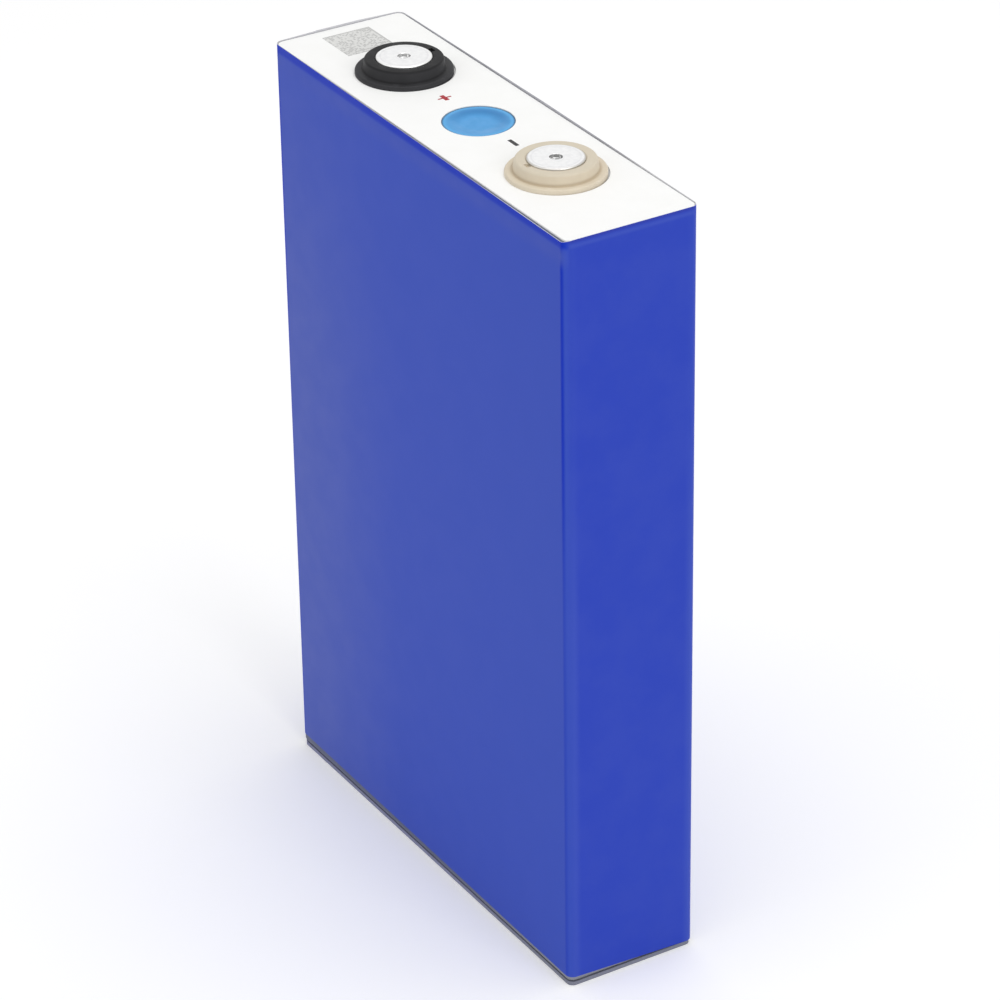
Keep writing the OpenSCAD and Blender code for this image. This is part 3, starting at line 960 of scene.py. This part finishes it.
upper = [dish_point(step, vent_thick) for step in range(dish_steps + 1)]
lower = [dish_point(step, 0) for step in range(dish_steps, -1, -1)]
vent_section = upper + [(vent_radius, cover_top + vent_thick), (vent_radius, cover_top)] + lower
vent_window = spin_section("vent_window", 0, vent_section, {dish_steps + 1: vent_round})
print("vent film sags", round(vent_sag / MM, 2), "mm")

# %% Vent finish
vent_blue = (0.085, 0.345, 0.7, 1)
vent_drift = (0.07, 0.31, 0.64, 1)
slope_shade = (0.045, 0.22, 0.5, 1)
rim_glint = (0.1, 0.41, 0.76, 1)
edge_shadow = (0.03, 0.1, 0.2, 1)

vent_skin, tree, shader = new_finish("vent_blue", Specular_IOR_Level=0.15)
tint = place_group(tree, clouds, Colour=vent_blue, Drift=vent_drift, Size=3 * MM, Amount=0.7)
axes = coordinates(tree)
radius = diagonal(tree, axes["X"], axes["Y"])
away = calculate(tree, "SUBTRACT", axes["Y"], axes["X"])
far_shade_share = ramp(tree, away, -0.9 * vent_radius, 1.1 * vent_radius)
colour = tint["Colour"]
# Painted shade on one side of the slope, a painted highlight on the glued rim and a painted shadow at the cut
# edge.
for ring, reach, share, tone in (
    (0.7 * vent_radius, 0.3 * vent_radius, far_shade_share, slope_shade),
    (vent_radius - 0.7 * vent_rim, 0.8 * vent_rim, 0.7, rim_glint),
    (vent_radius, 0.6 * vent_rim, 1.0, edge_shadow),
):
    line = line_mask(tree, radius, ring, reach)
    colour = mix_colours(tree, both(tree, line, share), colour, tone)
tree.links.new(colour, shader.inputs["Base Color"])
tree.links.new(spread(tree, tint["Mask"], 0.3, 0.42), shader.inputs["Roughness"])
pucker = place_group(tree, grain, Size=2.2 * MM, Detail=2.0)["Mask"]
raise_bumps(tree, shader, (pucker, 0.05 * MM))
hand_over(vent_window, vent_skin, slot="vent_cover", stands_for="vent_film")

# %% [markdown]
# ## The white sheet
# A white insulating sheet is stuck on the cover, with a hole for each collar and for the vent. It is laid by
# hand, so it sits a little askew: towards one end its front edge stays back from the film, and the collars'
# holes show a crescent of the cover on one side. A cube takes this shape when one part of its front edge is
# moved, its corners are bevelled, and three cylinders are taken away from it.

# %% White sheet
sheet_low, sheet_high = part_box("top_sheet")
sheet_thick = sheet_high.z - sheet_low.z
sheet_corner = film_corner - (film_high.x - sheet_high.x)
sheet_steps = 8
sheet_skew = 0.3 * MM
skew_start = 15 * MM

sheet = start_block(
    (0, 0, (sheet_low.z + sheet_high.z) / 2),
    (2 * sheet_high.x, 2 * sheet_high.y, sheet_thick),
)
begin(sheet, "white_sheet")
bpy.ops.mesh.select_all(action="SELECT")
bpy.ops.mesh.bisect(plane_co=(skew_start, 0, 0), plane_no=(1, 0, 0))
choose(sheet, "verts", lambda vert: vert.co.x > sheet_corner and vert.co.y < 0)
bpy.ops.transform.translate(value=(0, sheet_skew, 0))
choose(
    sheet, "edges",
    lambda edge: rise(edge) > sheet_thick / 2 and abs(middle(edge).x) > sheet_high.x - sheet_corner,
)
bpy.ops.mesh.bevel(offset=sheet_corner, segments=sheet_steps, affect="EDGES")
settle(sheet)
print("sheet is", round(sheet_thick / MM, 2), "mm thick")

# %% White sheet holes
hole_room = 0.22 * MM
hole_drift = Vector((0.1, 0.2)) * MM
vent_room = 0.06 * MM

for middle_x, middle_y, radius in (
    (positive_x + hole_drift.x, hole_drift.y, brim_radius + hole_room),
    (-positive_x + hole_drift.x, hole_drift.y, brim_radius + hole_room),
    (0, 0, vent_radius + vent_room),
):
    bpy.ops.object.select_all(action="DESELECT")
    bpy.ops.mesh.primitive_cylinder_add(
        vertices=turn_sides, radius=radius, depth=4 * sheet_thick,
        location=(middle_x, middle_y, sheet_high.z),
    )
    take_away(sheet, bpy.context.object)
    print("hole of", round(2 * radius / MM, 2), "mm")

# %% White sheet finish
sheet_white = (0.93, 0.93, 0.92, 1)
sheet_drift = (0.91, 0.91, 0.895, 1)

white_plastic, tree, shader = new_finish("white_plastic", Specular_IOR_Level=0.3)
tint = place_group(tree, clouds, Colour=sheet_white, Drift=sheet_drift, Size=7 * MM, Amount=0.6)
tree.links.new(tint["Colour"], shader.inputs["Base Color"])
tree.links.new(spread(tree, tint["Mask"], 0.5, 0.62), shader.inputs["Roughness"])
fibre = place_group(tree, grain, Size=0.35 * MM, Detail=3.0)["Mask"]
raise_bumps(tree, shader, (fibre, 0.006 * MM))
hand_over(sheet, white_plastic, slot="white_sheet", stands_for="top_sheet")

# %% [markdown]
# ## The signs on the white sheet
# The sheet is printed with a plus, a minus and a patch of dots. Ink is thin, but it is modelled as a thin
# solid, so that it shows in every program. A cross grows out of a small block by extruding its four sides.

# %% Helpers for ink
ink_thick = 0.02 * MM
ink_round = 0.08 * MM
ink_steps = 3


def ink_block(name, place, size):
    """Start a sign as a flat block of ink on the sheet."""
    piece = start_block((place.x, place.y, sheet_high.z + ink_thick / 2), (size.x, size.y, ink_thick))
    begin(piece, name)
    return piece


def round_corners(piece):
    """Round the upright edges of a sign, as ink does when it spreads."""
    choose(piece, "edges", lambda edge: rise(edge) > ink_thick / 2)
    bpy.ops.mesh.bevel(offset=ink_round, segments=ink_steps, affect="EDGES")
    settle(piece)


def ink_finish(name, colour, drift):
    """Printing ink: a little uneven and quite matt."""
    material, tree, shader = new_finish(name, Specular_IOR_Level=0.3)
    tint = place_group(tree, clouds, Colour=colour, Drift=drift, Size=0.5 * MM, Amount=0.8)
    tree.links.new(tint["Colour"], shader.inputs["Base Color"])
    tree.links.new(spread(tree, tint["Mask"], 0.5, 0.65), shader.inputs["Roughness"])
    return material


print("ink is", round(ink_thick / MM, 2), "mm thick")

# %% Plus and minus
plus_place = Vector((-15.3, 0.1)) * MM
plus_strokes = Vector((0.5, 1.1)) * MM
plus_size = Vector((3, 3.5)) * MM
minus_place = Vector((14.6, 0.43)) * MM
minus_size = Vector((3.7, 1)) * MM

plus_sign = ink_block("plus_sign", plus_place, plus_strokes)
arm = (plus_size - plus_strokes) / 2
for away in (Vector((arm.x, 0, 0)), Vector((-arm.x, 0, 0)), Vector((0, arm.y, 0)), Vector((0, -arm.y, 0))):
    choose(
        plus_sign, "faces",
        lambda face: face.normal.dot(away) > facing * away.length
        and (middle(face).xy - plus_place).length < plus_strokes.length / 2,
    )
    bpy.ops.mesh.extrude_region_move(TRANSFORM_OT_translate={"value": away})
round_corners(plus_sign)
hand_over(plus_sign, ink_finish("red_ink", (0.42, 0.025, 0.035, 1), (0.34, 0.03, 0.04, 1)))

minus_sign = ink_block("minus_sign", minus_place, minus_size)
round_corners(minus_sign)
hand_over(minus_sign, ink_finish("dark_ink", (0.03, 0.03, 0.032, 1), (0.045, 0.045, 0.048, 1)))

# %% [markdown]
# Such tops carry a small square patch of grey dots. A patch that a scanner could read has no place here, so
# the dots fall where a seeded draw puts them. A grid gives the squares, the draw picks some of them, and the
# picked ones are shrunk by an inset and take a darker ink.

# %% Dots of the patch
patch_place = Vector((-54.75, -0.15)) * MM
patch_side = 12.8 * MM
patch_squares = 24
dark_share = 0.42
square_side = patch_side / patch_squares
patch_low = patch_place - Vector((patch_side, patch_side)) / 2
draw = random.Random(5)
dark_squares = {
    (column, row)
    for column in range(patch_squares)
    for row in range(patch_squares)
    if draw.random() < dark_share or column == 0 or row == patch_squares - 1
}


def is_dark(face):
    """True on the upper face of a square that the draw picked."""
    spot = (middle(face).xy - patch_low) / square_side
    return face.normal.z > facing and (int(spot.x), int(spot.y)) in dark_squares


print("patch has", len(dark_squares), "dark squares")

# %% Patch
dot_inset = square_side / 12

bpy.ops.object.select_all(action="DESELECT")
bpy.ops.mesh.primitive_grid_add(
    x_subdivisions=patch_squares, y_subdivisions=patch_squares, size=patch_side,
    location=(patch_place.x, patch_place.y, sheet_high.z),
)
patch = bpy.context.object
begin(patch, "code_patch")
bpy.ops.mesh.select_all(action="SELECT")
bpy.ops.mesh.extrude_region_move(TRANSFORM_OT_translate={"value": (0, 0, ink_thick)})
bpy.ops.mesh.select_all(action="SELECT")
bpy.ops.mesh.normals_make_consistent(inside=False)
patch.data.materials.append(ink_finish("patch_ground", (0.72, 0.72, 0.705, 1), (0.66, 0.66, 0.645, 1)))
patch.data.materials.append(ink_finish("patch_dots", (0.44, 0.44, 0.43, 1), (0.55, 0.55, 0.54, 1)))
choose(patch, "faces", is_dark)
bpy.ops.mesh.inset(thickness=dot_inset, use_individual=True)
patch.active_material_index = 1
bpy.ops.object.material_slot_assign()
settle(patch)
hand_over(patch)

# %% [markdown]
# ## The metal and the inner pieces
# The can's bare foot, the sheet under it, the cover and all that is inside keep their construction meshes,
# because flat and turned pieces need no more. Their finishes carry the detail: streaks on drawn metal, wear
# and painted highlight on moulded plastic, and a foot that turns greyer towards the negative end. The can's
# metal is made dark with painted shade, for only its foot shows, under the film.

# %% Metal finishes
def drawn_finish(name, colour, drift, low_rough, high_rough):
    """Drawn or rolled metal: long fine streaks and a cloudy tone."""
    material, tree, shader = new_finish(name, Metallic=1.0)
    tint = place_group(tree, clouds, Colour=colour, Drift=drift, Size=5 * MM, Amount=0.7)
    lines = place_group(tree, streaks, Width=0.4 * MM, Length=25 * MM)["Mask"]
    tree.links.new(tint["Colour"], shader.inputs["Base Color"])
    tree.links.new(spread(tree, lines, low_rough, high_rough), shader.inputs["Roughness"])
    raise_bumps(tree, shader, (lines, 0.006 * MM))
    return material


def fade_foot(material, tone):
    """Blend a material into another tone at the foot, towards the negative end of the cell."""
    tree = material.node_tree
    axes = coordinates(tree)
    at_foot = ramp(tree, axes["Z"], film_low.z + 2 * film_corner, film_low.z + film_corner)
    paint_over(material, both(tree, ramp(tree, axes["X"], 0.0, film_high.x), at_foot), tone)


def dress(material, *nodes):
    """Give construction pieces a better material."""
    for node in nodes:
        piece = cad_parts[node]
        piece.data.materials.clear()
        piece.data.materials.append(material)
    print(material.name, "on", ", ".join(nodes))


# The can's dark bluish tone is painted shade for its foot, which shows only as a band below the film.
shaded_can_metal = drawn_finish("drawn_aluminium_in_shade", (0.14, 0.155, 0.225, 1), (0.12, 0.135, 0.2, 1), 0.35, 0.55)
fade_foot(shaded_can_metal, (0.27, 0.28, 0.31, 1))
cover_metal = drawn_finish("stamped_aluminium", (0.5, 0.5, 0.5, 1), (0.44, 0.44, 0.44, 1), 0.3, 0.5)
post_metal = drawn_finish("post_metal", (0.8, 0.8, 0.79, 1), (0.74, 0.74, 0.73, 1), 0.25, 0.45)
copper = drawn_finish("rolled_copper", (0.72, 0.34, 0.2, 1), (0.62, 0.27, 0.15, 1), 0.25, 0.45)
foil = drawn_finish("tab_foil", (0.75, 0.75, 0.75, 1), (0.68, 0.68, 0.69, 1), 0.2, 0.4)
dress(shaded_can_metal, "can")
dress(cover_metal, "cover_plate", "vent_disc", "fill_cap", "positive_collector")
dress(post_metal, "positive_post")
dress(copper, "negative_post", "negative_collector", "negative_tabs_front", "negative_tabs_back")
dress(foil, "positive_tabs_front", "positive_tabs_back")

# %% Soft and moulded inner pieces
rubber = moulded_finish(
    "black_rubber", (0.02, 0.02, 0.02, 1), (0.03, 0.03, 0.03, 1), (0.05, 0.05, 0.05, 1), 0.6, 0.8,
)
grey_sheet = moulded_finish(
    "grey_fibre", (0.2, 0.21, 0.35, 1), (0.17, 0.18, 0.3, 1), (0.24, 0.25, 0.38, 1), 0.6, 0.75,
)
fade_foot(grey_sheet, (0.2, 0.21, 0.27, 1))
tape_film = moulded_finish(
    "blue_tape", (0.06, 0.2, 0.5, 1), (0.08, 0.24, 0.55, 1), (0.1, 0.28, 0.6, 1), 0.3, 0.45,
)
bag_film = moulded_finish(
    "clear_bag", (0.75, 0.78, 0.78, 1), (0.8, 0.82, 0.82, 1), (0.85, 0.86, 0.86, 1), 0.3, 0.45,
)
tray_plastic = moulded_finish(
    "tray_white", (0.8, 0.78, 0.72, 1), (0.75, 0.73, 0.67, 1), (0.86, 0.84, 0.8, 1), 0.5, 0.65,
)
roll_skin = moulded_finish(
    "roll_skin", (0.045, 0.045, 0.05, 1), (0.065, 0.065, 0.07, 1), (0.09, 0.09, 0.1, 1), 0.45, 0.65,
)
dress(rubber, "positive_seal", "negative_seal", "fill_plug")
dress(grey_sheet, "base_sheet")
dress(black_plastic, "positive_lower_insulator")
dress(beige_plastic, "negative_lower_insulator")
dress(tape_film, "roll_tapes")
dress(bag_film, "inner_bag")
dress(tray_plastic, "base_tray")
dress(roll_skin, "roll_front", "roll_back")
